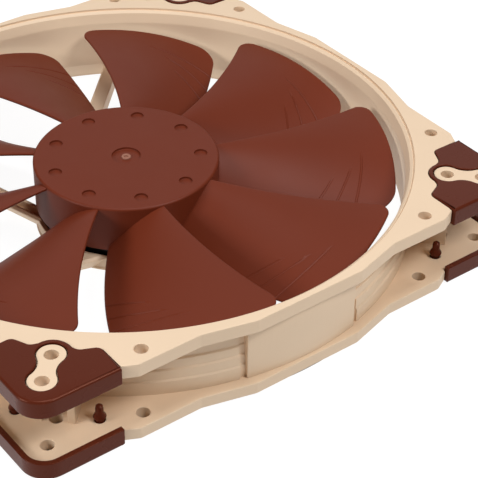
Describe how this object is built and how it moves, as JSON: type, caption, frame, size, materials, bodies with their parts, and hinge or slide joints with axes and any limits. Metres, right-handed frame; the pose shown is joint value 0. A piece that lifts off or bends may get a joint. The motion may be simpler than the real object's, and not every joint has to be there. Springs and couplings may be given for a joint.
{
  "type": "case fan",
  "caption": "Large square case fan with a slim open frame, swept blades, rubber corner pads and a hub motor carried on slanted struts.",
  "frame": {"origin": "on the rotor's axis, in the plane that the outlet pads rest on", "axes": "+Z along the rotor's axis towards the intake side, +X and +Y across the square frame's sides"},
  "size_m": [0.2, 0.2, 0.03],
  "materials": {
    "frame_plastic": "satin moulded",
    "impeller_plastic": "satin moulded",
    "pad_rubber": "matt",
    "yoke_steel": "black coated",
    "shaft_steel": "ground",
    "magnet": "matt",
    "brass": "turned",
    "nylon": "natural",
    "copper": "enamelled wire",
    "board": "solder mask",
    "chip": "moulded",
    "label_film": "blank film"
  },
  "bodies": {
    "frame": {"frame": "frame_plastic", "pad_intake_1": "pad_rubber", "pad_intake_2": "pad_rubber", "pad_intake_3": "pad_rubber", "pad_intake_4": "pad_rubber", "pad_outlet_1": "pad_rubber", "pad_outlet_2": "pad_rubber", "pad_outlet_3": "pad_rubber", "pad_outlet_4": "pad_rubber", "bearing_tube": "brass", "bearing_sleeve": "brass", "thrust_pad": "nylon", "oil_seal": "nylon", "stator_core": "yoke_steel", "insulator_upper": "nylon", "insulator_lower": "nylon", "coil_1": "copper", "coil_2": "copper", "coil_3": "copper", "coil_4": "copper", "circuit_board": "board", "driver_chip": "chip", "hall_sensor": "chip", "capacitor_1": "nylon", "capacitor_2": "nylon", "resistor_1": "chip", "resistor_2": "chip", "terminal_pin_1": "brass", "terminal_pin_2": "brass", "terminal_pin_3": "brass", "base_label": "label_film"},
    "rotor": {"impeller": "impeller_plastic", "rotor_cup": "yoke_steel", "magnet_ring": "magnet", "shaft": "shaft_steel", "shaft_boss": "brass", "shaft_clip": "yoke_steel"}
  },
  "joints": [
    {"name": "rotor_spin", "type": "hinge", "parent": "frame", "child": "rotor", "pos_m": [0, 0, 0.015], "axis": [0, 0, 1], "continuous": true}
  ]
}
